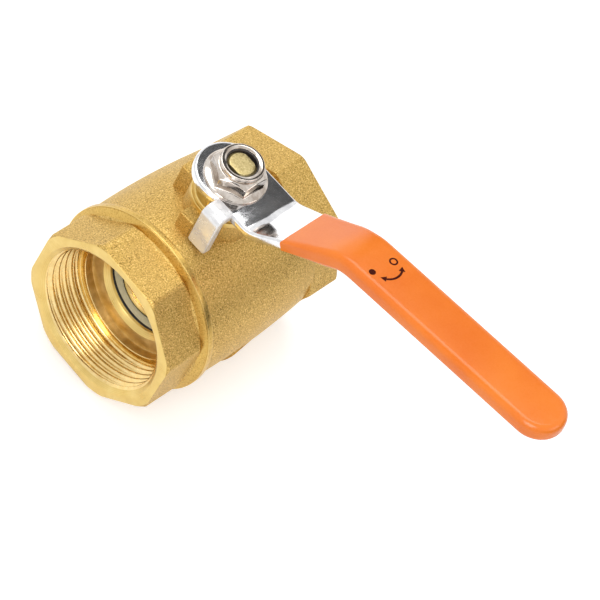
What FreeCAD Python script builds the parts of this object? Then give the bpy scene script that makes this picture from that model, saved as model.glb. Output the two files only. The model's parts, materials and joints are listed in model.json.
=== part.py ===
import FreeCAD, Part
import math
import os

# Ball valve with two female G 1-1/4 pipe threads, a lever and a coated grip.
# Millimetres. The pipe axis is X, from the inlet mouth (x = 0) to the outlet mouth.
# +Z runs up the stem, and the lever points along -Y while the valve is shut.

V = FreeCAD.Vector
X_AXIS = V(1, 0, 0)
Y_AXIS = V(0, 1, 0)
Z_AXIS = V(0, 0, 1)

# ---- driving dimensions -------------------------------------------------
thread_minor_radius = 19.476    # G 1-1/4 female thread, inside of the crests
mouth_lead_in = 1.924           # how far the chamfer at each mouth opens the thread's crests
mouth_chamfer_length = 1.5
mouth_wall = 2.1                # metal between a mouth's chamfer and the wrench flats
thread_length = 13.0
relief_step = 1.876             # plain bore behind each thread, in from the crests
inlet_relief_length = 2.6
outlet_relief_length = 1.6
port_radius = 12.2
port_bevel = 1.3
web_thickness = 2.0             # metal ring between the relief bore and the seat pocket

inlet_octagon_length = 12.6
outlet_octagon_length = 10.6
inlet_octagon_turn = -19.2      # how the screwed-in end came to rest, degrees about X
octagon_corner_proud = 1.75     # turned radius that takes the points off, above the flats
octagon_ease = 0.8

ball_wall = 5.8                 # from the port out to the sphere
ball_clearance = 0.15           # all round the ball, towards the seats
chamber_play = 1.2

seat_bore_step = 0.5            # seat bore beyond the port
seat_width = 3.9
seat_lip = 1.9334               # seat behind its ball hollow, at the bore
seat_length = 4.8
seat_shelter = 0.2              # how far the pocket reaches past the seat
backing_ring_thickness = 1.0
backing_ring_bore_step = 0.25

shoulder_width = 3.2            # from the chamber out to the retainer's thread
retainer_nose_ease = 0.6
gasket_thickness = 1.0
gasket_width = 2.8
screw_clearance = 0.05
collar_proud = 0.7              # turned band of the screwed-in end, above the barrel
collar_length = 1.9
collar_cone_length = 0.9
collar_cone_proud = 0.6         # small end of the cone, above the flats
collar_root = 1.5               # how far the turned part reaches into the octagon

body_wall = 3.35                # outside the retainer's thread, at the barrel's widest
body_widest_to_ball = 6.5
body_front_drop = 0.25
body_rear_drop = 1.75           # where the barrel runs into the outlet octagon
body_rear_overlap = 1.0
pad_to_ball, pad_length, pad_width = 4.5, 11.0, 15.0  # plain raised pad on the lever's side
pad_turn = 30.0                 # degrees below the horizontal
pad_proud = 0.6                 # at its front edge, running out to nothing

neck_wall = 1.7                 # outside the packing
neck_step = 0.7                 # wider turned step above the lug tops
neck_step_height = 1.2
neck_above_lugs = 2.2
lug_length = 4.0                # out from the neck's step
lug_round = 0.4
lug_width = 5.0
lug_root = 4.5                  # depth of the lugs into the barrel
spare_lug_shift = 1.0

stem_radius = 5.0
stem_clearance = 0.05
stem_collar_width = 1.5
stem_collar_to_ball = 1.3
stem_collar_thickness = 2.2
stem_recess_clearance = 0.1
thrust_washer_thickness = 0.65
tongue_width = 5.0
tongue_clearance = 0.1
tongue_length = 11.0
tongue_depth = 3.9              # into the ball
tongue_end_gap = 0.4
stem_top_radius = 4.0           # M8, with two flats
stem_half_flats = 3.0
stem_end_chamfer = 0.6
stem_end_recess = 0.8           # below the nut's top
stem_groove_rise = 2.8          # above the thrust washer
stem_groove_depth = 1.1
stem_groove_width = 1.5
o_ring_play = 0.02

seal_wall = 5.4                 # metal between the thrust washer and the packing
packing_width = 1.85
packing_ring_height = 1.6
gland_shank_length = 2.8
gland_flat_step = 0.4           # wrench flats of the gland, in from its shank
gland_head_height = 3.2
gland_ease = 0.7

lever_gap = 1.0                 # over the gland
lever_thickness = 2.6
lever_head_radius = 9.9
lever_head_shift = 1.5          # centre of the round head, past the stem axis
lever_neck_half_width = 9.2
lever_grip_half_width = 6.1
lever_taper_start = 13.0        # distances along the lever, from the stem axis
lever_taper_end = 38.0
lever_ramp_start = 14.4
lever_ramp_end = 38.6
lever_ramp_rise = 17.4
lever_grip_slope = 0.128
lever_end = 105.8
lever_bend_radius_low = 7.0
lever_bend_radius_high = 16.0
tab_beyond_lug = 0.4            # outer face of the stop tab, past the lugs
tab_start, tab_width = 2.3, 6.0
tab_above_barrel = 0.3
tab_chamfer = 0.5
stop_gap = 0.3

grip_thickness = 1.25
grip_start = 22.6
grip_skin = 0.3                 # coating where it starts
grip_full = 34.4                # distance along the lever where the coating is full

insert_width = 1.0
insert_height = 1.9
insert_recess = 0.5
nut_collar_wall = 0.85
nut_collar_height = 1.4
nut_rim = 0.5
nut_hex_wall = 0.65             # flats beyond the nut's collar
nut_hex_height = 4.0
nut_hex_ease, nut_hex_ease_width = 1.0, 1.6
nut_flange_width = 2.1
nut_flange_height = 1.2
nut_turn = -1.5                 # how the nut came to rest, degrees about Z
thread_play = 0.05

# ---- values that follow -------------------------------------------------
mouth_radius = thread_minor_radius + mouth_lead_in
relief_radius = thread_minor_radius - relief_step
octagon_half_flats = mouth_radius + mouth_wall
octagon_corner_radius = octagon_half_flats + octagon_corner_proud

ball_radius = port_radius + ball_wall
seat_inner_radius = port_radius + seat_bore_step
seat_pocket_radius = seat_inner_radius + seat_width
backing_ring_inner_radius = port_radius + backing_ring_bore_step
seat_back_to_ball = math.sqrt((ball_radius + ball_clearance)**2 - seat_inner_radius**2) + seat_lip
seat_pocket_x = thread_length + inlet_relief_length + web_thickness
ball_x = seat_pocket_x + backing_ring_thickness + seat_back_to_ball  # stem axis along the pipe
outlet_pocket_x = ball_x + seat_back_to_ball + backing_ring_thickness
total_length = outlet_pocket_x + web_thickness + outlet_relief_length + thread_length
retainer_nose_to_ball = seat_back_to_ball - seat_length - seat_shelter
retainer_nose_x = ball_x - retainer_nose_to_ball
shoulder_x = retainer_nose_x + gasket_thickness
collar_back_x = inlet_octagon_length + collar_cone_length + collar_length

chamber_radius = ball_radius + chamber_play
retainer_thread_radius = chamber_radius + shoulder_width
body_radius = retainer_thread_radius + body_wall
body_rear_radius = body_radius - body_rear_drop
collar_radius = body_radius + collar_proud

stem_hole_radius = stem_radius + stem_clearance
stem_collar_radius = stem_radius + stem_collar_width
packing_radius = stem_hole_radius + packing_width
neck_radius = packing_radius + neck_wall
neck_step_radius = neck_radius + neck_step
lug_reach = neck_step_radius + lug_length  # stem axis to the outer face of a stop lug
tab_reach = lug_reach + tab_beyond_lug

tongue_bottom_z = ball_radius - tongue_depth
stem_collar_bottom_z = ball_radius + stem_collar_to_ball
stem_collar_top_z = stem_collar_bottom_z + stem_collar_thickness
washer_top_z = stem_collar_top_z + stem_clearance + thrust_washer_thickness
stem_groove_z = washer_top_z + stem_groove_rise
packing_floor_z = washer_top_z + seal_wall
gland_floor_z = packing_floor_z + 2 * packing_ring_height
neck_top_z = gland_floor_z + gland_shank_length
lug_top_z = neck_top_z - neck_above_lugs
lever_bottom_z = neck_top_z + gland_head_height + lever_gap
lever_top_z = lever_bottom_z + lever_thickness
tab_bottom_z = body_radius + tab_above_barrel
gland_flats = 2 * (packing_radius - gland_flat_step)

insert_outer_radius = stem_top_radius + insert_width
nut_collar_radius = insert_outer_radius + nut_collar_wall
nut_flats = 2 * (nut_collar_radius + nut_hex_wall)
nut_flange_radius = nut_flats / 2 + nut_flange_width
nut_flange_top_z = lever_top_z + nut_flange_height
nut_hex_top_z = nut_flange_top_z + nut_hex_height
nut_top_z = nut_hex_top_z + nut_collar_height
stem_end_z = nut_top_z - stem_end_recess


# ---- helpers ------------------------------------------------------------
def cylinder_x(radius, x0, x1):
    return Part.makeCylinder(radius, x1 - x0, V(x0, 0, 0), X_AXIS)


def cone_x(radius0, radius1, x0, x1):
    return Part.makeCone(radius0, radius1, x1 - x0, V(x0, 0, 0), X_AXIS)


def on_stem(radius, z0, z1):
    return Part.makeCylinder(radius, z1 - z0, V(ball_x, 0, z0), Z_AXIS)


def box(x0, x1, y0, y1, z0, z1):
    return Part.makeBox(x1 - x0, y1 - y0, z1 - z0, V(x0, y0, z0))


def turned_x(points):
    """Solid of revolution about the pipe axis from (x, radius) corners."""
    wire = Part.makePolygon([V(x, 0, r) for x, r in points + points[:1]])
    return Part.Face(wire).revolve(V(0, 0, 0), X_AXIS, 360)


def turned_z(points):
    """Solid of revolution about the stem axis from (radius, z) corners."""
    wire = Part.makePolygon([V(ball_x + r, 0, z) for r, z in points + points[:1]])
    return Part.Face(wire).revolve(V(ball_x, 0, 0), Z_AXIS, 360)


def prism(sides, flats, length, turn, base, axis):
    """Regular prism with a corner at `turn` degrees about its own axis."""
    corner = flats / 2 / math.cos(math.pi / sides)
    angles = [math.radians(turn) + 2 * math.pi * k / sides for k in range(sides + 1)]
    if axis == "x":
        points = [base + V(0, -corner * math.sin(a), corner * math.cos(a)) for a in angles]
        direction = X_AXIS
    else:
        points = [base + V(corner * math.cos(a), corner * math.sin(a), 0) for a in angles]
        direction = Z_AXIS
    return Part.Face(Part.makePolygon(points)).extrude(direction * length)


def octagon(x0, x1, turn):
    """Wrench octagon along X, its points turned off and its end faces eased."""
    block = prism(8, 2 * octagon_half_flats, x1 - x0, turn, V(x0, 0, 0), "x")
    inner = octagon_corner_radius - octagon_ease
    lathe = turned_x([(x0, 0), (x0, inner), (x0 + octagon_ease, octagon_corner_radius),
                      (x1 - octagon_ease, octagon_corner_radius), (x1, inner), (x1, 0)])
    return block.common(lathe)


def threaded_mouth(face_x, inward):
    """Cut for one female end: lead-in, thread bore, relief, web bevel and port."""
    thread_x = face_x + inward * thread_length
    web_x = (seat_pocket_x - web_thickness) if inward > 0 else (outlet_pocket_x + web_thickness)
    bore = [(face_x, 0), (face_x, mouth_radius),
            (face_x + inward * mouth_chamfer_length, thread_minor_radius),
            (thread_x, thread_minor_radius), (thread_x, relief_radius),
            (web_x, relief_radius), (web_x, port_radius + port_bevel),
            (web_x + inward * port_bevel, port_radius),
            (web_x + inward * web_thickness, port_radius), (web_x + inward * web_thickness, 0)]
    return turned_x(bore)


# ---- pressure body ------------------------------------------------------
def barrel():
    """Cast barrel: a shallow curve from the collar to the outlet octagon."""
    rear_x = total_length - outlet_octagon_length + body_rear_overlap
    widest_x = ball_x - body_widest_to_ball
    front = V(collar_back_x, 0, body_radius - body_front_drop)
    rear = V(rear_x, 0, body_rear_radius)
    back_edge = Part.makeLine(rear, V(rear_x, 0, 0))
    crown = Part.Arc(front, V(widest_x, 0, body_radius), rear).toShape()
    wire = Part.Wire([Part.makeLine(V(collar_back_x, 0, 0), front), crown, back_edge,
                      Part.makeLine(V(rear_x, 0, 0), V(collar_back_x, 0, 0))])
    return Part.Face(wire).revolve(V(0, 0, 0), X_AXIS, 360)


def raised_pad():
    """Plain raised pad on the barrel's side, running out to nothing towards the outlet."""
    pad_start_x = ball_x - pad_to_ball
    pad_end_x = pad_start_x + pad_length
    pad = box(pad_start_x, pad_end_x, -2 * body_radius, -body_radius / 2, -pad_width / 2, pad_width / 2)
    pad.rotate(V(0, 0, 0), X_AXIS, pad_turn)
    return pad.common(cone_x(body_radius + pad_proud, body_radius - pad_proud, pad_start_x, pad_end_x))


def stop_lug(angle, first_edge, last_edge):
    """Cast lug beside the neck, between two edges measured along its outer face."""
    lug = box(ball_x - lug_reach, ball_x - packing_radius, first_edge, last_edge,
              body_rear_radius - lug_root, lug_top_z)
    lug = lug.common(on_stem(lug_reach + lug_round, 0, lug_top_z))
    lug.rotate(V(ball_x, 0, 0), Z_AXIS, angle)
    return lug


def stop_lugs():
    """The shut stop, the open stop and the spare lug of the casting."""
    shut_edge = -tab_start + stop_gap
    shut_stop = stop_lug(0, shut_edge, shut_edge + lug_width)
    open_edge = tab_start + tab_width + stop_gap
    open_stop = stop_lug(90, -open_edge - lug_width, -open_edge)
    spare_edge = shut_edge - spare_lug_shift
    spare = stop_lug(-90, spare_edge, spare_edge + lug_width)
    return shut_stop.fuse([open_stop, spare])


def make_body():
    outside = barrel().fuse([octagon(total_length - outlet_octagon_length, total_length, 0),
                             on_stem(neck_radius, 0, neck_top_z),
                             on_stem(neck_step_radius, 0, lug_top_z + neck_step_height),
                             stop_lugs(), raised_pad()])
    cuts = [threaded_mouth(total_length, -1),
            cylinder_x(retainer_thread_radius + screw_clearance, collar_back_x - 1, shoulder_x),
            cylinder_x(chamber_radius, shoulder_x - 1, ball_x + retainer_nose_to_ball),
            cylinder_x(seat_pocket_radius, ball_x, outlet_pocket_x),
            on_stem(stem_collar_radius + stem_recess_clearance, 0, washer_top_z),
            on_stem(stem_hole_radius, 0, neck_top_z + 1),
            on_stem(packing_radius, packing_floor_z, neck_top_z + 1)]
    return outside.cut(cuts)


def make_retainer():
    """Screwed-in inlet end: octagon, turned collar, male thread and seat pocket."""
    collar_front_x = inlet_octagon_length + collar_cone_length
    root_x = inlet_octagon_length - collar_root
    turned = turned_x([(root_x, 0), (root_x, octagon_half_flats - 1),
                       (inlet_octagon_length, octagon_half_flats + collar_cone_proud),
                       (collar_front_x, collar_radius), (collar_back_x, collar_radius),
                       (collar_back_x, retainer_thread_radius),
                       (retainer_nose_x - retainer_nose_ease, retainer_thread_radius),
                       (retainer_nose_x, retainer_thread_radius - retainer_nose_ease),
                       (retainer_nose_x, 0)])
    outside = octagon(0, inlet_octagon_length, inlet_octagon_turn).fuse(turned)
    return outside.cut([threaded_mouth(0, 1),
                        cylinder_x(seat_pocket_radius, seat_pocket_x, retainer_nose_x + 1)])


def make_retainer_gasket():
    outer = retainer_thread_radius
    return turned_x([(retainer_nose_x, outer - gasket_width), (retainer_nose_x, outer),
                     (shoulder_x, outer), (shoulder_x, outer - gasket_width)])


# ---- ball and seats -----------------------------------------------------
def make_ball():
    """Floating ball in its shut position: port across the pipe, drive slot along it."""
    centre = V(ball_x, 0, 0)
    ball = Part.makeSphere(ball_radius, centre)
    port = Part.makeCylinder(port_radius, 2 * ball_radius, V(ball_x, -ball_radius, 0), Y_AXIS)
    half_slot = tongue_width / 2 + tongue_clearance
    slot = box(ball_x - ball_radius, ball_x + ball_radius, -half_slot, half_slot,
               tongue_bottom_z - tongue_end_gap, ball_radius + 1)
    return ball.cut([port, slot])


def seat(side):
    """PTFE seat on one side of the ball (-1 inlet, 1 outlet), hollowed to the ball."""
    back = ball_x + side * seat_back_to_ball
    front = back - side * seat_length
    ring = turned_x([(back, seat_inner_radius), (back, seat_pocket_radius),
                     (front, seat_pocket_radius), (front, seat_inner_radius)])
    return ring.cut(Part.makeSphere(ball_radius + ball_clearance, V(ball_x, 0, 0)))


def backing_ring(side):
    """Dark rubber ring between a seat and the bottom of its pocket."""
    front = ball_x + side * seat_back_to_ball
    back = front + side * backing_ring_thickness
    return turned_x([(front, backing_ring_inner_radius), (front, seat_pocket_radius),
                     (back, seat_pocket_radius), (back, backing_ring_inner_radius)])


# ---- stem and its seals -------------------------------------------------
def two_flats(radius, half_flats, z0, z1):
    """Round bar about the stem axis with two flats that face the pipe ends."""
    slab = box(ball_x - half_flats, ball_x + half_flats, -radius - 1, radius + 1, z0, z1)
    return on_stem(radius, z0, z1).common(slab)


def make_stem():
    """Blow-out-proof stem: drive tongue, collar, sealed shank and a two-flat M8 end."""
    groove_low = stem_groove_z - stem_groove_width / 2
    groove_high = stem_groove_z + stem_groove_width / 2
    groove_radius = stem_radius - stem_groove_depth
    shank = turned_z([(0, stem_collar_bottom_z), (stem_collar_radius, stem_collar_bottom_z),
                      (stem_collar_radius, stem_collar_top_z), (stem_radius, stem_collar_top_z),
                      (stem_radius, groove_low), (groove_radius, groove_low),
                      (groove_radius, groove_high), (stem_radius, groove_high),
                      (stem_radius, lever_bottom_z), (0, lever_bottom_z)])
    tip = turned_z([(0, lever_bottom_z), (stem_top_radius, lever_bottom_z),
                    (stem_top_radius, stem_end_z - stem_end_chamfer),
                    (stem_top_radius - stem_end_chamfer, stem_end_z), (0, stem_end_z)])
    tip = tip.common(two_flats(stem_top_radius + 1, stem_half_flats, lever_bottom_z, stem_end_z))
    tongue = box(ball_x - tongue_length / 2, ball_x + tongue_length / 2,
                 -tongue_width / 2, tongue_width / 2, tongue_bottom_z, stem_collar_bottom_z)
    tongue = tongue.common(Part.makeCylinder(tongue_length / 2, stem_collar_bottom_z,
                                             V(ball_x, 0, 0), Z_AXIS))
    return shank.fuse([tip, tongue])


def make_stem_o_ring():
    section = stem_groove_depth / 2 - o_ring_play
    middle = stem_radius - stem_groove_depth / 2
    return Part.makeTorus(middle, section, V(ball_x, 0, stem_groove_z), Z_AXIS)


def stem_ring(outer, z0, z1):
    return on_stem(outer, z0, z1).cut(on_stem(stem_hole_radius, z0 - 1, z1 + 1))


def make_thrust_washer():
    return stem_ring(stem_collar_radius, washer_top_z - thrust_washer_thickness, washer_top_z)


def packing_ring(index):
    low = packing_floor_z + index * packing_ring_height
    return stem_ring(packing_radius, low, low + packing_ring_height)


def make_gland_nut():
    """Hexagon gland nut that squeezes the packing, screwed into the neck."""
    head_top = neck_top_z + gland_head_height
    head = prism(6, gland_flats, gland_head_height, 0, V(ball_x, 0, neck_top_z), "z")
    corner = gland_flats / 2 / math.cos(math.pi / 6)
    head = head.common(turned_z([(0, neck_top_z), (corner, neck_top_z), (corner, head_top - gland_ease),
                                 (corner - 2 * gland_ease, head_top), (0, head_top)]))
    shank = on_stem(packing_radius, gland_floor_z, neck_top_z)
    return head.fuse(shank).cut(on_stem(stem_hole_radius, 0, head_top + 1))


# ---- lever, grip and nut ------------------------------------------------
def lever_corners(offset):
    """Corners (distance, z) of the lever's top line, shifted square to each run."""
    ramp_angle = math.atan2(lever_ramp_rise, lever_ramp_end - lever_ramp_start)
    grip_angle = math.atan(lever_grip_slope)
    low = (lever_ramp_start - offset * math.tan(ramp_angle / 2), lever_top_z + offset)
    half_turn = (ramp_angle + grip_angle) / 2
    shift = offset / math.cos((ramp_angle - grip_angle) / 2)
    high = (lever_ramp_end - shift * math.sin(half_turn),
            lever_top_z + lever_ramp_rise + shift * math.cos(half_turn))
    past_end = lever_end + 10
    end = (past_end, high[1] + (past_end - high[0]) * lever_grip_slope)
    return [low, high, end]


def rounded_path(points, radii):
    """Edges along (distance, z) points in the YZ plane, with an arc at each inner point."""
    edges = []
    start = points[0]
    for here, after, radius in zip(points[1:], points[2:], radii):
        a_in = math.atan2(here[1] - start[1], here[0] - start[0])
        a_out = math.atan2(after[1] - here[1], after[0] - here[0])
        cut = abs(radius * math.tan((a_out - a_in) / 2))
        p_in = (here[0] - cut * math.cos(a_in), here[1] - cut * math.sin(a_in))
        p_out = (here[0] + cut * math.cos(a_out), here[1] + cut * math.sin(a_out))
        bulge = radius / math.cos((a_out - a_in) / 2) - radius
        inward = (a_in + a_out) / 2 + math.copysign(math.pi / 2, a_out - a_in)
        middle = (here[0] + bulge * math.cos(inward), here[1] + bulge * math.sin(inward))
        edges.append(Part.makeLine(V(0, -start[0], start[1]), V(0, -p_in[0], p_in[1])))
        edges.append(Part.Arc(V(0, -p_in[0], p_in[1]), V(0, -middle[0], middle[1]),
                              V(0, -p_out[0], p_out[1])).toShape())
        start = p_out
    end = points[-1]
    edges.append(Part.makeLine(V(0, -start[0], start[1]), V(0, -end[0], end[1])))
    return edges


def lever_sheet(above, below):
    """Bent sheet between two offsets from the lever's top line, wider than the lever."""
    half_width = 2 * lever_neck_half_width
    outlines = []
    for offset in (above, -below):
        path = [(0, lever_top_z + offset)] + lever_corners(offset)
        radii = [lever_bend_radius_low - offset, lever_bend_radius_high + offset]
        outlines.append((path, rounded_path(path, radii)))
    (top, top_edges), (bottom, bottom_edges) = outlines
    ends = [Part.makeLine(V(0, -top[-1][0], top[-1][1]), V(0, -bottom[-1][0], bottom[-1][1])),
            Part.makeLine(V(0, -bottom[0][0], bottom[0][1]), V(0, -top[0][0], top[0][1]))]
    wire = Part.Wire(Part.__sortEdges__(top_edges + bottom_edges + ends))
    sheet = Part.Face(wire).extrude(X_AXIS * 2 * half_width)
    sheet.translate(V(ball_x - half_width, 0, 0))
    return sheet


def arm_outline(grow, start, end):
    """Plan of the arm as a tall block: parallel neck, taper, parallel grip, round end."""
    neck = lever_neck_half_width + grow
    grip = lever_grip_half_width + grow
    centre = end - grip
    height = V(0, 0, 100)
    points = [(neck, start), (neck, max(start, lever_taper_start)), (grip, lever_taper_end),
              (grip, centre)]
    if points[1] == points[0]:
        points = points[1:]
        share = (start - lever_taper_start) / (lever_taper_end - lever_taper_start)
        points[0] = (neck + (grip - neck) * share, start)
    right = [V(ball_x + x, -d, 0) for x, d in points]
    left = [V(ball_x - x, -d, 0) for x, d in reversed(points)]
    tip = Part.Arc(right[-1], V(ball_x, -end, 0), left[0]).toShape()
    wire = Part.Wire([Part.makePolygon(right), tip, Part.makePolygon(left + right[:1])])
    return Part.Face(wire).extrude(height)


def stop_tab():
    """Tab bent down from the head's inlet side, with its lower corners cut off."""
    x0 = ball_x - tab_reach
    y1 = -tab_start
    y0 = y1 - tab_width
    leg = box(x0, x0 + lever_thickness, y0, y1, tab_bottom_z, lever_top_z)
    shelf = box(x0, ball_x - lever_head_radius / 2, y0, y1, lever_bottom_z, lever_top_z)
    tab = leg.fuse(shelf).removeSplitter()
    bend = [edge for edge in tab.Edges
            if abs(edge.BoundBox.XMax - x0) < 1e-6 and abs(edge.BoundBox.ZMin - lever_top_z) < 1e-6]
    tab = tab.makeFillet(lever_thickness, bend)
    corner = [(y0, tab_bottom_z), (y0 + tab_chamfer, tab_bottom_z), (y0, tab_bottom_z + tab_chamfer)]
    corner = Part.Face(Part.makePolygon([V(x0 - 1, y, z) for y, z in corner + corner[:1]]))
    first = corner.extrude(X_AXIS * (lever_thickness + 2))
    second = first.mirror(V(0, (y0 + y1) / 2, 0), Y_AXIS)
    return tab.cut([first, second])


def make_lever():
    """Plated steel lever: round head, bent arm and the stop tab."""
    arm = lever_sheet(0, lever_thickness).common(arm_outline(0, 0, lever_end))
    head = Part.makeCylinder(lever_head_radius, lever_thickness,
                             V(ball_x, lever_head_shift, lever_bottom_z), Z_AXIS)
    hole = two_flats(stem_top_radius + thread_play, stem_half_flats + thread_play,
                     lever_bottom_z - 1, lever_top_z + 1)
    return head.fuse([arm, stop_tab()]).cut(hole)


def grip_lead():
    """Start of the coating on the ramp, growing from a thin skin to its full thickness."""
    rise = lever_ramp_rise / (lever_ramp_end - lever_ramp_start)
    upright = math.hypot(1, rise)  # height of a cut across the ramp, for each millimetre of thickness
    sections = []
    for distance, coat in ((grip_start, grip_skin), (grip_full, grip_thickness)):
        share = (distance - lever_taper_start) / (lever_taper_end - lever_taper_start)
        half = lever_neck_half_width + (lever_grip_half_width - lever_neck_half_width) * share + coat
        surface = lever_top_z + (distance - lever_ramp_start) * rise
        high = surface + coat * upright
        low = surface - (lever_thickness + coat) * upright
        corners = [(-half, low), (half, low), (half, high), (-half, high), (-half, low)]
        sections.append(Part.makePolygon([V(ball_x + x, -distance, z) for x, z in corners]))
    return Part.makeLoft(sections, True, True)


def make_grip(lever):
    """Dipped soft coating over the arm."""
    outside = lever_sheet(grip_thickness, lever_thickness + grip_thickness).common(
        arm_outline(grip_thickness, grip_full, lever_end + grip_thickness))
    return outside.fuse(grip_lead()).cut(lever)


def make_lock_nut():
    """M8 flange nut with a turned collar that holds the locking insert."""
    corner = nut_flats / 2 / math.cos(math.pi / 6)
    eased_z = nut_hex_top_z - nut_hex_ease
    hexagon = prism(6, nut_flats, nut_hex_top_z - lever_top_z, nut_turn, V(ball_x, 0, lever_top_z), "z")
    chamfered = turned_z([(0, lever_top_z), (corner, lever_top_z), (corner, eased_z),
                          (corner - nut_hex_ease_width, nut_hex_top_z), (0, nut_hex_top_z)])
    flange = turned_z([(0, lever_top_z), (nut_flange_radius, lever_top_z),
                       (nut_flange_radius, lever_top_z + nut_rim), (nut_flats / 2, nut_flange_top_z),
                       (0, nut_flange_top_z)])
    collar = turned_z([(0, eased_z), (nut_collar_radius, eased_z),
                       (nut_collar_radius, nut_top_z - nut_rim),
                       (nut_collar_radius - nut_rim, nut_top_z), (0, nut_top_z)])
    bore = on_stem(stem_top_radius + thread_play, lever_top_z - 1, nut_top_z + 1)
    pocket = on_stem(insert_outer_radius, nut_top_z - insert_recess - insert_height, nut_top_z + 1)
    return hexagon.common(chamfered).fuse([flange, collar]).cut([bore, pocket])


def make_nut_insert():
    top = nut_top_z - insert_recess
    inner = on_stem(stem_top_radius + thread_play, 0, top + 1)
    return on_stem(insert_outer_radius, top - insert_height, top).cut(inner)


# ---- build --------------------------------------------------------------
lever_shape = make_lever()
nodes = {
    "body": make_body(),
    "retainer": make_retainer(),
    "retainer_gasket": make_retainer_gasket(),
    "ball": make_ball(),
    "inlet_seat": seat(-1),
    "outlet_seat": seat(1),
    "inlet_backing_ring": backing_ring(-1),
    "outlet_backing_ring": backing_ring(1),
    "stem": make_stem(),
    "stem_o_ring": make_stem_o_ring(),
    "thrust_washer": make_thrust_washer(),
    "packing_ring_lower": packing_ring(0),
    "packing_ring_upper": packing_ring(1),
    "gland_nut": make_gland_nut(),
    "lever": lever_shape,
    "grip": make_grip(lever_shape),
    "lock_nut": make_lock_nut(),
    "nut_insert": make_nut_insert(),
}

os.makedirs("parts", exist_ok=True)
for name, shape in nodes.items():
    if not shape.isValid() or not shape.Solids:
        print("check", name, shape.isValid(), len(shape.Solids))
    shape.exportStep("parts/" + name + ".step")
    print(name, len(shape.Solids), round(shape.Volume, 1))
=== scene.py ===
import json
import math

import bmesh
import bpy
from mathutils import Matrix, Vector


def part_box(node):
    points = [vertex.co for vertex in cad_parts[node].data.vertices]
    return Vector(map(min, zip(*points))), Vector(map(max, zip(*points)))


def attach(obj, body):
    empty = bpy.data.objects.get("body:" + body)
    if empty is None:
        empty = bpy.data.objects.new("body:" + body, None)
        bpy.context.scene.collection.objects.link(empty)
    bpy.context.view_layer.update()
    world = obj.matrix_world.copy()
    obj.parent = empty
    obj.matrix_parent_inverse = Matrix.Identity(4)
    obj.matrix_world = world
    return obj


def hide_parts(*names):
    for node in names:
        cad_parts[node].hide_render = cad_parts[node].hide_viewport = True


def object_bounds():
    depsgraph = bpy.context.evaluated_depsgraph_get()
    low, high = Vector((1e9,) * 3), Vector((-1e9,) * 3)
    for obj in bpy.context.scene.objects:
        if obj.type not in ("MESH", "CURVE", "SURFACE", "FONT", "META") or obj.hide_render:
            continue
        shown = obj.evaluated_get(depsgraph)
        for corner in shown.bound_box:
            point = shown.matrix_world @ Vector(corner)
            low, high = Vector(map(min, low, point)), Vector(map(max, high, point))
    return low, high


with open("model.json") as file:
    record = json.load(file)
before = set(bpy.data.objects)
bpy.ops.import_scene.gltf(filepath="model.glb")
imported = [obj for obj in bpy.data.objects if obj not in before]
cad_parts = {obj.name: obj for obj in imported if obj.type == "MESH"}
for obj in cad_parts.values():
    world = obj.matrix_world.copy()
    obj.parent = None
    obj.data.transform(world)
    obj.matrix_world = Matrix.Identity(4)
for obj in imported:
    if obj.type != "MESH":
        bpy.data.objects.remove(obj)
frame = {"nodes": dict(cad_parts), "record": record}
cad_low, cad_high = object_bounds()

# Lengths down to the studio section are millimetres; meshes are scaled to metres when they are made.
MM = 0.001
BODY_OF = {node: body for body, nodes in frame["record"]["behaviour"]["bodies"].items() for node in nodes}


def low(node, axis):
    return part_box(node)[0][axis] / MM


def high(node, axis):
    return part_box(node)[1][axis] / MM


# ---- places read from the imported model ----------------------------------
INLET_X, NOSE_X = low("retainer", 0), high("retainer", 0)
COLLAR_BACK_X, OUTLET_X = low("body", 0), high("body", 0)
BALL_X = (low("ball", 0) + high("ball", 0)) / 2
BALL_R = (high("ball", 0) - low("ball", 0)) / 2
NECK_TOP_Z = high("body", 2)
GLAND_TOP_Z, GLAND_LOW_Z = high("gland_nut", 2), low("gland_nut", 2)
NUT_LOW_Z, NUT_TOP_Z = low("lock_nut", 2), high("lock_nut", 2)
LEVER_TOP_Z = NUT_LOW_Z
STEM_LOW_Z, STEM_TOP_Z = low("stem", 2), high("stem", 2)
LEVER_END = -low("lever", 1)
GRIP_START = -high("grip", 1)
COLLAR_R = high("retainer", 2)
POCKET_X = low("inlet_backing_ring", 0)
OUTLET_POCKET_X = high("outlet_backing_ring", 0)
SEAT_BACK_X = low("inlet_seat", 0)

# ---- sizes shared with the part -----------------------------------------
# The two octagon ends
HALF_FLATS = 23.5
CORNER_R = 25.25
CORNER_EASE = 0.8
OUTLET_CORNER_R = 25.4
OUTLET_CORNER_EASE = 0.35
INLET_TURN = math.radians(-19.2)
INLET_OCTAGON = 12.6
OUTLET_OCTAGON = 10.6
# Their threads: real pitch and minor radius, rounded and a little shallow
THREAD_MINOR_R = 19.476
THREAD_DEPTH = 1.1
THREAD_PITCH = 2.309
THREAD_LENGTH = 13.0
MOUTH_R = 21.4
MOUTH_CHAMFER = 1.5
# Port, seats and ball chamber
RELIEF_R = 17.6
PORT_R = 12.2
PORT_BEVEL = 1.3
WEB = 2.0
POCKET_R = 16.6
SEAT_BORE_R = 12.7
RING_BORE_R = 12.45
CHAMBER_R = 19.2
SCREW_R = 22.4
SEAT_FACE = 10.1                        # from the ball's centre to a seat's face
SLOT_HALF, SLOT_DEPTH = 2.6, 4.3
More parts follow.
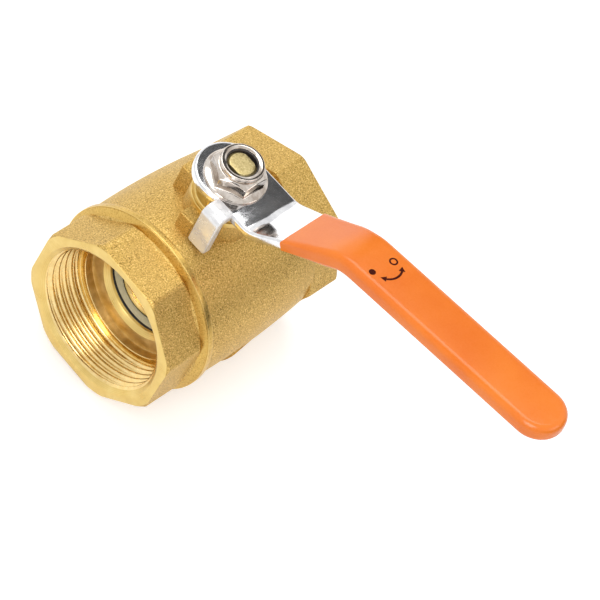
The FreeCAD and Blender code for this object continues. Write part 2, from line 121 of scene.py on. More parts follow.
# Barrel, neck and stop lugs
BARREL_R = 25.75
BARREL_REAR_R = 24.0
NECK_R = 8.6
NECK_STEP_R = 9.3
LUG_TOP_Z = 31.4
LUG_REACH = 13.3
LUG_WIDTH = 5.0
LUG_ROUND = 0.45
LUG_SHARP = 0.6                         # radians at which a lug's edge is rounded over
LUGS = (("shut", 0, -2.0), ("open", 90, -13.6), ("spare", -90, -3.0))      # name, degrees, first side
NECK_FOOT_Z = 20.6
NECK_SHOULDER = 1.2                     # the neck's step above the lugs
# Lever, nut, gland nut and stem
LEVER_T = 2.6
GRIP_T = 1.25
NUT_BORE_R, NUT_HALF_FLATS, INSERT_R = 4.05, 6.5, 5.0
NUT_TURN = math.radians(-1.5)
GLAND_HALF_FLATS = 6.5
STEM_R, STEM_END_R, STEM_TONGUE_R, STEM_COLLAR_R = 5.0, 4.0, 5.5, 6.5
STEM_END_HALF, STEM_TONGUE_HALF = 3.0, 2.5
STEM_GROOVE_R, STEM_GROOVE_LOW, STEM_GROOVE_TOP = 3.9, 24.25, 25.75
STEM_COLLAR_LOW, STEM_COLLAR_TOP = BALL_R + 1.3, BALL_R + 3.5
STEM_BORE_R, STEM_COLLAR_BORE_R, PACKING_BORE_R = 5.05, 6.6, 6.9
STEM_BORE_LOW, STEM_BORE_TOP = 22.2, 27.6

# ---- materials ----------------------------------------------------------
WAVE_SPACING = 0.314                    # metres between the bands of a wave texture at scale 1
NOISE_LOW, NOISE_HIGH = 0.3, 0.7        # where nearly all of a noise texture's values lie
MIX_FACTOR, MIX_A, MIX_B, MIX_COLOUR = 0, 6, 7, 2      # a colour mix node's sockets


class Material:
    """Small helper that builds one procedural Principled material."""

    def __init__(self, name, metallic, specular=0.5):
        self.data = bpy.data.materials.new(name)
        self.data.use_nodes = True
        self.tree = self.data.node_tree
        self.shader = self.tree.nodes["Principled BSDF"]
        self.shader.inputs["Metallic"].default_value = metallic
        self.shader.inputs["Specular IOR Level"].default_value = specular
        self.coords = self.tree.nodes.new("ShaderNodeTexCoord").outputs["Object"]
        self.height = None

    def link(self, a, b):
        self.tree.links.new(a, b)

    def noise(self, size_mm, detail, rough=0.55):
        node = self.tree.nodes.new("ShaderNodeTexNoise")
        node.inputs["Scale"].default_value = 1 / (size_mm * MM)
        node.inputs["Detail"].default_value = detail
        node.inputs["Roughness"].default_value = rough
        self.link(self.coords, node.inputs["Vector"])
        return node.outputs["Fac"]

    def rings(self, pitch_mm, about, shift=(0, 0, 0), bands=False):
        """Turning marks: rings about an axis, or bands along it."""
        mapping = self.tree.nodes.new("ShaderNodeMapping")
        mapping.inputs["Location"].default_value = shift
        self.link(self.coords, mapping.inputs["Vector"])
        node = self.tree.nodes.new("ShaderNodeTexWave")
        node.wave_type = "BANDS" if bands else "RINGS"
        if bands:
            node.bands_direction = about
        else:
            node.rings_direction = about
        node.inputs["Scale"].default_value = WAVE_SPACING / (pitch_mm * MM)
        node.inputs["Distortion"].default_value = 0.6
        node.inputs["Detail"].default_value = 1.0
        self.link(mapping.outputs["Vector"], node.inputs["Vector"])
        return node.outputs["Fac"]

    def ramp(self, value, stops):
        """Colour for a value, from (place, colour) stops."""
        node = self.tree.nodes.new("ShaderNodeValToRGB")
        elements = node.color_ramp.elements
        for place, _ in stops[len(elements):]:
            elements.new(place)
        for element, (place, colour) in zip(elements, stops):
            element.position = place
            element.color = (*colour, 1)
        self.link(value, node.inputs["Fac"])
        return node.outputs["Color"]

    def mix(self, factor, a, b):
        node = self.tree.nodes.new("ShaderNodeMix")
        node.data_type = "RGBA"
        for index, value in ((MIX_FACTOR, factor), (MIX_A, a), (MIX_B, b)):
            socket = node.inputs[index]
            if isinstance(value, (int, float)):
                socket.default_value = value
            elif isinstance(value, tuple):
                socket.default_value = (*value, 1)
            else:
                self.link(value, socket)
        return node.outputs[MIX_COLOUR]

    def colour(self, output):
        self.link(output, self.shader.inputs["Base Color"])

    def roughness(self, value, lowest, highest):
        node = self.tree.nodes.new("ShaderNodeMapRange")
        node.inputs["From Min"].default_value = NOISE_LOW
        node.inputs["From Max"].default_value = NOISE_HIGH
        node.inputs["To Min"].default_value = lowest
        node.inputs["To Max"].default_value = highest
        self.link(value, node.inputs["Value"])
        self.link(node.outputs["Result"], self.shader.inputs["Roughness"])

    def bump(self, value, depth_mm, strength):
        node = self.tree.nodes.new("ShaderNodeBump")
        node.inputs["Distance"].default_value = depth_mm * MM
        node.inputs["Strength"].default_value = strength
        self.link(value, node.inputs["Height"])
        if self.height is not None:
            self.link(self.height, node.inputs["Normal"])
        self.height = node.outputs["Normal"]
        self.link(self.height, self.shader.inputs["Normal"])


def cast_brass():
    m = Material("cast_brass_blasted", 0.75)
    grain = m.noise(0.36, 2.0, 0.65)
    patches = m.noise(9.0, 2.0)
    base = m.ramp(grain, [(0.32, (0.20, 0.110, 0.020)), (0.45, (0.56, 0.355, 0.088)),
                          (0.57, (0.67, 0.440, 0.120)), (0.70, (1.00, 0.76, 0.300))])
    share = m.ramp(patches, [(0.35, (0, 0, 0)), (0.7, (0.35, 0.35, 0.35))])
    m.colour(m.mix(share, base, (0.64, 0.43, 0.14)))
    m.roughness(patches, 0.46, 0.58)
    m.bump(m.noise(0.9, 2.0), 0.05, 0.6)
    m.bump(grain, 0.06, 0.95)
    return m.data


def faced_brass():
    m = Material("turned_brass_face", 0.9)
    lines = m.rings(0.34, "X")
    stain = m.noise(5.0, 3.0)
    base = m.ramp(stain, [(0.3, (0.66, 0.45, 0.125)), (0.55, (0.74, 0.53, 0.17)), (0.75, (0.80, 0.60, 0.22))])
    m.colour(m.mix(0.12, base, m.ramp(lines, [(0.0, (0.55, 0.36, 0.10)), (1.0, (1.0, 0.86, 0.5))])))
    m.roughness(stain, 0.26, 0.36)
    m.bump(lines, 0.006, 0.6)
    m.bump(m.rings(0.30, "X", bands=True), 0.006, 0.5)
    return m.data


def thread_brass():
    m = Material("thread_brass", 1.0)
    wear = m.noise(1.6, 3.0)
    m.colour(m.ramp(wear, [(0.3, (0.76, 0.54, 0.21)), (0.7, (0.88, 0.68, 0.32))]))
    m.roughness(wear, 0.16, 0.26)
    return m.data


def bore_brass():
    m = Material("bored_brass", 0.95)
    lines = m.rings(0.5, "X", bands=True)
    stain = m.noise(2.5, 3.0)
    m.colour(m.ramp(stain, [(0.3, (0.56, 0.37, 0.13)), (0.7, (0.76, 0.54, 0.22))]))
    m.roughness(stain, 0.28, 0.42)
    m.bump(lines, 0.012, 0.6)
    m.bump(m.noise(0.4, 2.0), 0.012, 0.5)
    return m.data


def stem_brass():
    m = Material("stem_brass", 0.85)
    grain = m.noise(0.45, 3.0)
    m.colour(m.ramp(grain, [(0.3, (0.46, 0.35, 0.14)), (0.55, (0.63, 0.51, 0.24)),
                            (0.75, (0.76, 0.65, 0.36))]))
    m.roughness(grain, 0.34, 0.48)
    m.bump(m.rings(0.35, "Z", shift=(-BALL_X * MM, 0, 0)), 0.008, 0.6)
    m.bump(grain, 0.012, 0.6)
    return m.data


def chrome(name="chrome_plating", tint=(0.86, 0.86, 0.87), dark=(0.70, 0.70, 0.72)):
    m = Material(name, 1.0)
    haze = m.noise(3.0, 3.0)
    m.colour(m.ramp(haze, [(0.35, dark), (0.6, tint)]))
    m.roughness(m.noise(0.8, 4.0), 0.07, 0.15)
    m.bump(m.noise(5.0, 1.0), 0.05, 0.35)
    m.bump(m.noise(0.35, 2.0), 0.012, 0.5)
    return m.data


def orange_vinyl():
    m = Material("orange_vinyl", 0.0, specular=0.45)
    cloud = m.noise(14.0, 2.0)
    fine = m.noise(0.6, 2.0)
    base = m.ramp(cloud, [(0.3, (0.93, 0.196, 0.012)), (0.7, (1.0, 0.248, 0.022))])
    m.colour(m.mix(0.08, base, m.ramp(fine, [(0.3, (0.75, 0.14, 0.02)), (0.7, (1.0, 0.34, 0.09))])))
    m.roughness(fine, 0.20, 0.27)
    m.bump(m.noise(6.0, 2.0), 0.12, 0.25)
    m.bump(fine, 0.01, 0.35)
    return m.data


def simple(name, light, dark, metallic, rough, size=0.6, depth=0.012, specular=0.5):
    """Plain finish with one grain, size and depth in millimetres, in its colour, gloss and bump."""
    m = Material(name, metallic, specular)
    grain = m.noise(size, 3.0)
    m.colour(m.ramp(grain, [(0.32, dark), (0.68, light)]))
    m.roughness(grain, rough - 0.05, rough + 0.07)
    m.bump(grain, depth, 0.6)
    return m.data


CAST_M, FACED_M, THREAD_M, BORE_M = cast_brass(), faced_brass(), thread_brass(), bore_brass()
CHROME_M = chrome()
NUT_M = chrome("nickel_plating", (0.70, 0.64, 0.58), (0.46, 0.39, 0.33))
TAB_M = simple("worn_plating", (0.88, 0.88, 0.88), (0.80, 0.80, 0.81), 0.4, 0.24, size=2.5, depth=0.01)
DULL_M = simple("turned_brass_band", (0.70, 0.47, 0.13), (0.50, 0.31, 0.075), 0.9, 0.30, size=0.5)
BALL_M = chrome("ball_plating", (0.84, 0.83, 0.80), (0.72, 0.70, 0.66))
STEM_M = stem_brass()
VINYL_M = orange_vinyl()
INK_M = simple("mark_ink", (0.080, 0.010, 0.004), (0.045, 0.005, 0.002), 0.0, 0.65, specular=0.08)
# PTFE for the seats, washer and packing: its own pale off-white, warmed yellow as a painted reflection of the
# brass around it
PTFE_WITH_PAINTED_BRASS_REFLECTION_M = simple("ptfe", (0.88, 0.80, 0.55), (0.78, 0.70, 0.45), 0.0, 0.42)
RUBBER_M = simple("black_rubber", (0.030, 0.030, 0.032), (0.012, 0.012, 0.013), 0.0, 0.5)
FIBRE_M = simple("sealing_fibre", (0.28, 0.10, 0.05), (0.18, 0.06, 0.03), 0.0, 0.7, size=0.4, depth=0.03)
NYLON_M = simple("dark_nylon", (0.055, 0.045, 0.042), (0.020, 0.016, 0.016), 0.0, 0.34)
BRASS_SET = [CAST_M, FACED_M, THREAD_M, BORE_M, DULL_M]
CAST, FACED, THREAD, BORE, DULL = range(5)


# ---- mesh helpers -------------------------------------------------------
ROUND = 128                             # points round a plain turned piece
WELD = 2e-7                             # metres within which two points become one


def link_object(name, data):
    obj = bpy.data.objects.new(name, data)
    bpy.context.scene.collection.objects.link(obj)
    return obj


def brass_mesh(name):
    """Empty mesh with the five brass finishes in its slots."""
    mesh = bpy.data.meshes.new(name)
    for material in BRASS_SET:
        mesh.materials.append(material)
    return mesh


def new_object(name, verts, faces, marks=None):
    """Object from millimetre vertices, welded and with its normals outward."""
    mesh = brass_mesh(name)
    mesh.from_pydata([Vector(v) * MM for v in verts], [], faces)
    if marks:
        mesh.polygons.foreach_set("material_index", marks)
    bm = bmesh.new()
    bm.from_mesh(mesh)
    bmesh.ops.remove_doubles(bm, verts=bm.verts, dist=WELD)
    bmesh.ops.dissolve_degenerate(bm, edges=bm.edges, dist=WELD / 2)
    bmesh.ops.recalc_face_normals(bm, faces=bm.faces)
    if bm.calc_volume(signed=True) < 0:
        bmesh.ops.reverse_faces(bm, faces=bm.faces)
    bm.to_mesh(mesh)
    bm.free()
    return link_object(name, mesh)


def smooth_shade(obj, limit=32):
    """Smooth shading with creases where faces meet at more than limit degrees."""
    bm = bmesh.new()
    bm.from_mesh(obj.data)
    for face in bm.faces:
        face.smooth = True
    for edge in bm.edges:
        edge.smooth = len(edge.link_faces) == 2 and edge.calc_face_angle(0) < math.radians(limit)
    bm.to_mesh(obj.data)
    bm.free()


def combine(obj, other, operation):
    """Boolean of two closed meshes; the second object is used up."""
    change = obj.modifiers.new("cut", "BOOLEAN")
    change.operation = operation
    change.solver = "MANIFOLD"
    change.object = other
    depsgraph = bpy.context.evaluated_depsgraph_get()
    result = bpy.data.meshes.new_from_object(obj.evaluated_get(depsgraph))
    obj.modifiers.clear()
    old = obj.data
    obj.data = result
    bpy.data.meshes.remove(old)
    bpy.data.objects.remove(other)
    return obj


def corner_angles(sides, turn, fine):
    """Angles round a prism, closer together beside its corners."""
    sector = 2 * math.pi / sides
    offsets = [math.radians(a) for a in fine]
    half = [a for a in offsets if a < sector / 2 - 1e-6] + [sector / 2]
    across = half + [sector - a for a in reversed(half[1:-1])]
    return [turn + k * sector + a for k in range(sides) for a in across]


def even_angles(count):
    return [2 * math.pi * k / count for k in range(count)]


def polar(name, rows, angles, axis):
    """Closed surface about an axis from rows of (height, radius or function, material).
    Each row's material covers the strip that leads to the next row."""
    verts, faces, marks = [], [], []
    closed = rows[0][1] != 0
    count = len(angles)
    for height, radius, _ in rows:
        for a in angles:
            r = radius(a, height) if callable(radius) else radius
            if axis == "x":
                verts.append((height, -r * math.sin(a), r * math.cos(a)))
            elif axis == "y":
                verts.append((BALL_X + r * math.sin(a), height, r * math.cos(a)))
            else:
                verts.append((BALL_X + r * math.cos(a), r * math.sin(a), height))
    for i in range(len(rows) if closed else len(rows) - 1):
        after = (i + 1) % len(rows)
        for j in range(count):
            k = (j + 1) % count
            faces.append((i * count + j, i * count + k, after * count + k, after * count + j))
            marks.append(rows[i][2])
    return new_object(name, verts, faces, marks)


def soft_min(a, b, width):
    """The smaller of two radii, rounded over where they cross."""
    h = max(width - abs(a - b), 0.0) / width
    return min(a, b) - h * h * width / 4


def polygon_radius(a, sides, turn, half_flats):
    sector = 2 * math.pi / sides
    off = (a - turn) % sector - sector / 2
    return half_flats / math.cos(off)


def steps(start, end, count):
    return [start + (end - start) * k / count for k in range(count + 1)]


def arc(centre, radius, first, last, count):
    """Points (height, radius) on an arc in the profile plane, angles in degrees from +height."""
    return [(centre[0] + radius * math.cos(math.radians(a)), centre[1] + radius * math.sin(math.radians(a)))
            for a in steps(first, last, count)]


def rounded(points, count=4):
    """Profile with each (height, radius, rounding) corner replaced by a short arc."""
    out = []
    total = len(points)
    for i, (x, y, size) in enumerate(points):
        here = Vector((x, y))
        if size <= 0:
            out.append((x, y))
            continue
        before = Vector(points[i - 1][:2]) - here
        after = Vector(points[(i + 1) % total][:2]) - here
        reach = min(size, before.length * 0.45, after.length * 0.45)
        first, last = here + before.normalized() * reach, here + after.normalized() * reach
        for t in steps(0.0, 1.0, count):
            point = first * (1 - t)**2 + here * 2 * t * (1 - t) + last * t * t
            out.append((point.x, point.y))
    return out


def turned(name, points, axis, mark=0):
    return polar(name, [(h, r, mark) for h, r in rounded(points)], even_angles(ROUND), axis)


# ---- the two threaded ends ----------------------------------------------
# Degrees from an octagon's corner to the middle of its side, closer together beside the corner.
OCTAGON_FINE = [0, 0.45, 0.8, 1.05, 1.3, 1.7, 2.3, 3.2, 4.6, 6.6, 9, 11.4, 13.8, 16.2, 18.6, 20.6]
# Distances from an octagon's end, closer together where its edge and corners are eased.
EASE_STEPS = (0.0, 0.03, 0.07, 0.12, 0.3, 0.5, 0.7, 0.85, 1.2)
EDGE_ROUND = 0.12
THREAD_END, THREAD_FADE = 0.4, 1.1      # plain length at the thread's end, and its run-out
LEAD_FACED = 1.0                        # depth of the mouth's turned lead-in
FRONT_EASE = 0.25                       # how much narrower the barrel is at the collar
JOINT_GAP = 0.06                        # hairline between two clamped faces


def thread_radius(a, depth, inward):
    """Radius of the female thread at a depth behind its mouth."""
    turn = 2 * math.pi * depth / THREAD_PITCH + inward * a
    fade = min(max((THREAD_LENGTH - THREAD_END - depth) / THREAD_FADE, 0.0), 1.0)
    crest = THREAD_MINOR_R + (0.5 - 0.5 * math.cos(turn)) * fade * THREAD_DEPTH
    chamfer = MOUTH_R - (MOUTH_R - THREAD_MINOR_R) * depth / MOUTH_CHAMFER
    return -soft_min(-crest, -chamfer, 0.1)


def mouth_rows(face_x, inward, web_x):
    """Rows from the seat pocket's floor out through port, relief and thread to the end face."""
    def at(depth):
        return face_x + inward * depth
    depth_web = (web_x - face_x) * inward
    rows = [(at(depth_web + WEB), PORT_R, FACED), (at(depth_web + PORT_BEVEL), PORT_R, FACED),
            (at(depth_web + 0.12), PORT_R + PORT_BEVEL - 0.12, FACED),
            (at(depth_web), PORT_R + PORT_BEVEL + 0.1, BORE), (at(depth_web), RELIEF_R - 0.7, BORE),
            (at(depth_web - 0.2), RELIEF_R - 0.2, BORE), (at(depth_web - 0.7), RELIEF_R, BORE),
            (at(THREAD_LENGTH + 0.15), RELIEF_R, THREAD), (at(THREAD_LENGTH), RELIEF_R + 0.15, THREAD),
            (at(THREAD_LENGTH), THREAD_MINOR_R - 0.1, THREAD)]
    for depth in steps(THREAD_LENGTH - 0.1, 1.7, 88) + steps(1.66, 0.08, 36):
        mark = THREAD if depth > LEAD_FACED else FACED
        rows.append((at(depth), lambda a, x, d=depth: thread_radius(a, d, inward), mark))
    rows += [(at(0.03), MOUTH_R + 0.02, FACED), (at(0.0), MOUTH_R + 0.12, FACED)]
    return rows


def octagon_radius(turn, near, far, corner=CORNER_R, ease=CORNER_EASE):
    """Outer radius over the octagon between two X positions, eased at both ends."""
    def radius(a, x):
        depth = min(x - near, far - x)
        lathe = corner - ease + min(max(depth, 0), ease)
        edge = EDGE_ROUND * max(0.0, 1 - max(depth, 0) / EDGE_ROUND)**2
        return soft_min(polygon_radius(a, 8, turn, HALF_FLATS), lathe, 0.16) - edge
    return radius


def octagon_steps(near, far):
    """X positions across an octagon, closer together at both ends."""
    return [*(near + s for s in EASE_STEPS), *steps(near + 2, far - 2, 8),
            *(far - s for s in reversed(EASE_STEPS))]


def make_retainer():
    """Inlet end: octagon, cone up to the collar, screwed nose, and the threaded mouth inside."""
    end = INLET_X + INLET_OCTAGON
    outer = octagon_radius(INLET_TURN, INLET_X, end)
    cone_r = HALF_FLATS + 0.6
    cone_length = 1.5
    collar_front = end + 0.9
    collar_rear = COLLAR_BACK_X - JOINT_GAP

    def cone(x):
        if x <= end:
            return HALF_FLATS - 1 + (x - end + cone_length) * (cone_r - HALF_FLATS + 1) / cone_length
        return cone_r + (x - end) * (COLLAR_R - cone_r) / (collar_front - end)

    def octagon_and_cone(a, x):
        return -soft_min(-outer(a, x), -cone(x), 0.08) if x > end - cone_length else outer(a, x)

    rows = mouth_rows(INLET_X, 1, POCKET_X - WEB)
    rows += [(INLET_X, lambda a, x: (MOUTH_R + outer(a, x)) / 2, FACED)]
    for x in octagon_steps(INLET_X, end):
        rows.append((x, octagon_and_cone, FACED if x < INLET_X + 0.1 else CAST))
    rows[-1] = (end, octagon_and_cone, DULL)
    rows += [(x, lambda a, x: cone(x), DULL) for x in steps(end + 0.02, collar_front - 0.12, 5)]
    rows += [(h, r, DULL if abs(r - COLLAR_R) < 0.01 else FACED) for h, r in rounded([
        (collar_front, COLLAR_R, 0.25), (collar_rear, COLLAR_R, 0.3), (collar_rear, SCREW_R, 0),
        (NOSE_X - 0.6, SCREW_R, 0.1), (NOSE_X, SCREW_R - 0.6, 0.1), (NOSE_X, POCKET_R, 0.1),
        (POCKET_X, POCKET_R, 0)])]
    return polar("retainer_piece", rows, corner_angles(8, INLET_TURN, OCTAGON_FINE), "x")


def lug(name, angle, first, last):
    """Cast stop lug beside the neck, its top and sides rounded over."""
    bm = bmesh.new()
    corner_reach = LUG_REACH + 0.4
    inner = NECK_R - 1.5
    foot = BARREL_REAR_R - 4.5
    first = max(first, -math.sqrt(corner_reach**2 - (inner + 0.5)**2))
    plan = [(-inner, first), *((-min(LUG_REACH, math.sqrt(corner_reach**2 - y * y)), y)
                               for y in steps(first, last, 8)), (-inner, last)]
    face = bm.faces.new([bm.verts.new((x, y, foot)) for x, y in plan])
    top = bmesh.ops.extrude_face_region(bm, geom=[face])
    moved = [v for v in top["geom"] if isinstance(v, bmesh.types.BMVert)]
    bmesh.ops.translate(bm, verts=moved, vec=(0, 0, LUG_TOP_Z - foot))
    bmesh.ops.recalc_face_normals(bm, faces=bm.faces)
    edges = [e for e in bm.edges
             if e.calc_face_angle(0) > LUG_SHARP and max(v.co.z for v in e.verts) > LUG_TOP_Z - 1
             and min(v.co.x for v in e.verts) < -inner - 0.1]
    bmesh.ops.bevel(bm, geom=edges, offset=LUG_ROUND, segments=3, affect="EDGES", clamp_overlap=True)
    bmesh.ops.rotate(bm, cent=(0, 0, 0), matrix=Matrix.Rotation(math.radians(angle), 3, "Z"), verts=bm.verts)
    bmesh.ops.translate(bm, verts=bm.verts, vec=(BALL_X, 0, 0))
    bmesh.ops.scale(bm, vec=(MM, MM, MM), verts=bm.verts)
    bmesh.ops.recalc_face_normals(bm, faces=bm.faces)
    mesh = brass_mesh(name)
    bm.to_mesh(mesh)
    bm.free()
    return link_object(name, mesh)


def raised_pad():
    """Plain cast pad on the barrel, proud at its front edge and running out to nothing."""
    start, length, width, turn = BALL_X - 4.5, 11.0, 15.0, math.radians(30)
    proud, fall, foot_r = 0.6, 1.2, 22.0
    verts, faces = [], []
    xs, ws = steps(start, start + length, 12), steps(-width / 2, width / 2, 12)
    for level in (0, 1):
        for x in xs:
            crest = BARREL_R + proud - fall * (x - start) / length
            for w in ws:
                r = foot_r if level == 0 else crest
                a = -math.asin(w / crest)
                verts.append((x, -r * math.cos(a + turn), -r * math.sin(a + turn)))
    n, m = len(xs), len(ws)
    for i in range(n - 1):
        for j in range(m - 1):
            for level in (0, n * m):
                faces.append((level + i * m + j, level + i * m + j + 1, level + (i + 1) * m + j + 1,
                              level + (i + 1) * m + j))
    rim = [i * m for i in range(n)] + [(n - 1) * m + j for j in range(1, m)] + \
          [i * m + m - 1 for i in range(n - 2, -1, -1)] + [j for j in range(m - 2, 0, -1)]
    for k, a in enumerate(rim):
        b = rim[(k + 1) % len(rim)]
        faces.append((a, b, b + n * m, a + n * m))
    return new_object("pad", verts, faces, [CAST] * len(faces))


def make_body():
    """Cast body: barrel, outlet octagon and mouth, neck, stop lugs, and the bore for the stem."""
    start = OUTLET_X - OUTLET_OCTAGON
    outer = octagon_radius(0.0, start, OUTLET_X, OUTLET_CORNER_R, OUTLET_CORNER_EASE)
    rear = start + 1.0
    widest = BALL_X - 6.5
    front_r = BARREL_R - FRONT_EASE

    def barrel(x):
        if x < widest:
            return BARREL_R - (BARREL_R - front_r) * ((widest - x) / (widest - COLLAR_BACK_X))**2
        return BARREL_R - (BARREL_R - BARREL_REAR_R) * ((x - widest) / (rear - widest))**2

    def both(a, x):
        return -soft_min(-outer(a, x), -barrel(x), 0.2)

    chamber_end = BALL_X + (BALL_X - NOSE_X)
    rows = [(COLLAR_BACK_X, SCREW_R + 0.05, FACED), (COLLAR_BACK_X, front_r - 0.5, FACED),
            (COLLAR_BACK_X + 0.06, front_r - 0.28, FACED), (COLLAR_BACK_X + 0.18, front_r - 0.12, CAST),
            (COLLAR_BACK_X + 0.35, front_r - 0.02, CAST)]
    rows += [(x, barrel(x), CAST) for x in steps(COLLAR_BACK_X + 0.6, start, 26)]
    rows += [(x, both, CAST) for x in (start, start + 0.1, start + 0.4, start + 0.8, rear - 0.1)]
    rows += [(rear, outer, CAST), (rear + 0.1, outer, CAST)]
    rows += [(x, outer, CAST if x < OUTLET_X - 0.1 else FACED)
             for x in octagon_steps(start, OUTLET_X) if x > rear + 0.3]
    mouth = mouth_rows(OUTLET_X, -1, OUTLET_POCKET_X + WEB)
    rows += [(OUTLET_X, lambda a, x: (MOUTH_R + outer(a, x)) / 2, FACED)]
    rows += [(h, r, mouth[max(i - 1, 0)][2]) for i, (h, r, _) in reversed(list(enumerate(mouth)))]
    rows += [(OUTLET_POCKET_X, POCKET_R, BORE), (chamber_end, POCKET_R, BORE),
             (chamber_end, CHAMBER_R, BORE), (NOSE_X + 1, CHAMBER_R, BORE),
             (NOSE_X + 1, SCREW_R + 0.05, BORE)]
    obj = polar("body_piece", rows, corner_angles(8, 0.0, OCTAGON_FINE), "x")

    shoulder, top, core_r = LUG_TOP_Z + NECK_SHOULDER, NECK_TOP_Z - JOINT_GAP, 4.0
    profile = rounded([
        (NECK_FOOT_Z, core_r, 0), (NECK_FOOT_Z, NECK_STEP_R, 0), (LUG_TOP_Z - 0.4, NECK_STEP_R, 0),
        (shoulder, NECK_STEP_R, 0.2), (shoulder, NECK_R + 0.1, 0.08), (top, NECK_R, 0.3), (top, core_r, 0)])
    neck = polar("neck", [(h, r, CAST if h < LUG_TOP_Z - 1 else FACED) for h, r in profile],
                 even_angles(ROUND), "z")
    combine(obj, neck, "UNION")
    for name, angle, first in LUGS:
        combine(obj, lug(name, angle, first, first + LUG_WIDTH), "UNION")
    combine(obj, raised_pad(), "UNION")
    shaft = turned("shaft", [
        (0, 0, 0), (0, STEM_COLLAR_BORE_R, 0), (STEM_BORE_LOW, STEM_COLLAR_BORE_R, 0),
        (STEM_BORE_LOW, STEM_BORE_R, 0), (STEM_BORE_TOP, STEM_BORE_R, 0), (STEM_BORE_TOP, PACKING_BORE_R, 0),
        (NECK_TOP_Z + 1, PACKING_BORE_R, 0), (NECK_TOP_Z + 1, 0, 0)], "z", BORE)
    combine(obj, shaft, "DIFFERENCE")
    return obj


# ---- ball, seats and rings ----------------------------------------------
def make_ball():
    """Ball with its port along Y while shut, the port's edges eased, and the drive slot."""
    ease, ease_depth = 0.35, 0.45
    edge = math.asin(math.sqrt(BALL_R**2 - (PORT_R + ease)**2) / BALL_R)
    inner_edge = math.sqrt(BALL_R**2 - PORT_R**2) - ease_depth
    rows = [(BALL_R * math.sin(t), BALL_R * math.cos(t), 0) for t in steps(-edge, edge, 64)]
    rows += [(inner_edge + 0.15, PORT_R + 0.06, 0)]
    rows += [(y, PORT_R, 0) for y in steps(inner_edge, -inner_edge, 10)]
    rows += [(-inner_edge - 0.15, PORT_R + 0.06, 0)]
    ball = polar("ball_piece", rows, even_angles(144), "y")
    verts = [(x, y, z) for x in (BALL_X - BALL_R - 1, BALL_X + BALL_R + 1) for y in (-SLOT_HALF, SLOT_HALF)
             for z in (BALL_R - SLOT_DEPTH, BALL_R + 1)]
    slot = new_object("slot", verts, [(0, 1, 3, 2), (4, 6, 7, 5), (0, 4, 5, 1), (2, 3, 7, 6), (0, 2, 6, 4),
                                      (1, 5, 7, 3)])
    return combine(ball, slot, "DIFFERENCE")


def make_seat(name, side):
    """Seat with a hollow face that follows the ball; side is -1 at the inlet, 1 at the outlet."""
    hollow = BALL_R + 0.15
    first, last = math.asin(SEAT_BORE_R / hollow), math.acos(SEAT_FACE / hollow)
    back = BALL_X - SEAT_BACK_X
    profile = [(back, POCKET_R, 0), (back, SEAT_BORE_R, 0.15)]
    profile += [(hollow * math.cos(t), hollow * math.sin(t), 0) for t in steps(first, last, 8)]
    profile += [(SEAT_FACE, POCKET_R, 0.1)]
    return turned(name, [(BALL_X + side * x, r, e) for x, r, e in profile], "x")


def make_backing_ring(name, near, far):
    return turned(name, [(near, RING_BORE_R, 0.12), (near, POCKET_R, 0), (far, POCKET_R, 0),
                         (far, RING_BORE_R, 0.12)], "x")


# ---- stem, gland, nut ---------------------------------------------------
# Degrees from a hexagon's corner to the middle of its side.
HEX_FINE = [0, 0.5, 1, 1.6, 2.4, 3.5, 5, 7.5, 10, 13, 16, 20, 24, 27]


def make_stem():
    """Stem with its drive tongue, collar, shank and the two-flat end."""
    def flats(limit, half, along_y, inset=0.0):
        def radius(a, z):
            side = abs(math.sin(a)) if along_y else abs(math.cos(a))
            return soft_min(limit, half / max(side, 1e-3), 0.1) - inset
        return radius

    chamfer = 0.6
    tip_r = STEM_END_R - chamfer
    shoulder = LEVER_TOP_Z - LEVER_T
    tongue = flats(STEM_TONGUE_R, STEM_TONGUE_HALF, True)
    end = flats(STEM_END_R, STEM_END_HALF, False)
    rows = [(STEM_LOW_Z, 0, 0), (STEM_LOW_Z, flats(STEM_TONGUE_R, STEM_TONGUE_HALF, True, 0.25), 0),
            (STEM_LOW_Z + 0.3, tongue, 0), (STEM_COLLAR_LOW, tongue, 0)]
    rows += [(h, r, 0) for h, r in rounded([
        (STEM_COLLAR_LOW, STEM_COLLAR_R, 0.2), (STEM_COLLAR_TOP, STEM_COLLAR_R, 0.2),
        (STEM_COLLAR_TOP, STEM_R, 0), (STEM_GROOVE_LOW, STEM_R, 0.1), (STEM_GROOVE_LOW, STEM_GROOVE_R, 0),
        (STEM_GROOVE_TOP, STEM_GROOVE_R, 0), (STEM_GROOVE_TOP, STEM_R, 0.1), (shoulder, STEM_R, 0.25)])]
    rows += [(shoulder, end, 0)]
    rows += [(z, end, 0) for z in steps(shoulder + 0.5, STEM_TOP_Z - chamfer, 6)]
    rows += [(STEM_TOP_Z - down, flats(tip_r, STEM_END_HALF, False, inset), 0)
             for down, inset in ((0.1, 0.01), (0.03, 0.05), (0.0, 0.15))]
    rows += [(STEM_TOP_Z, lambda a, z: flats(tip_r, STEM_END_HALF, False)(a, z) * 0.6, 0), (STEM_TOP_Z, 0, 0)]
    return polar("stem_piece", rows, even_angles(120), "z")


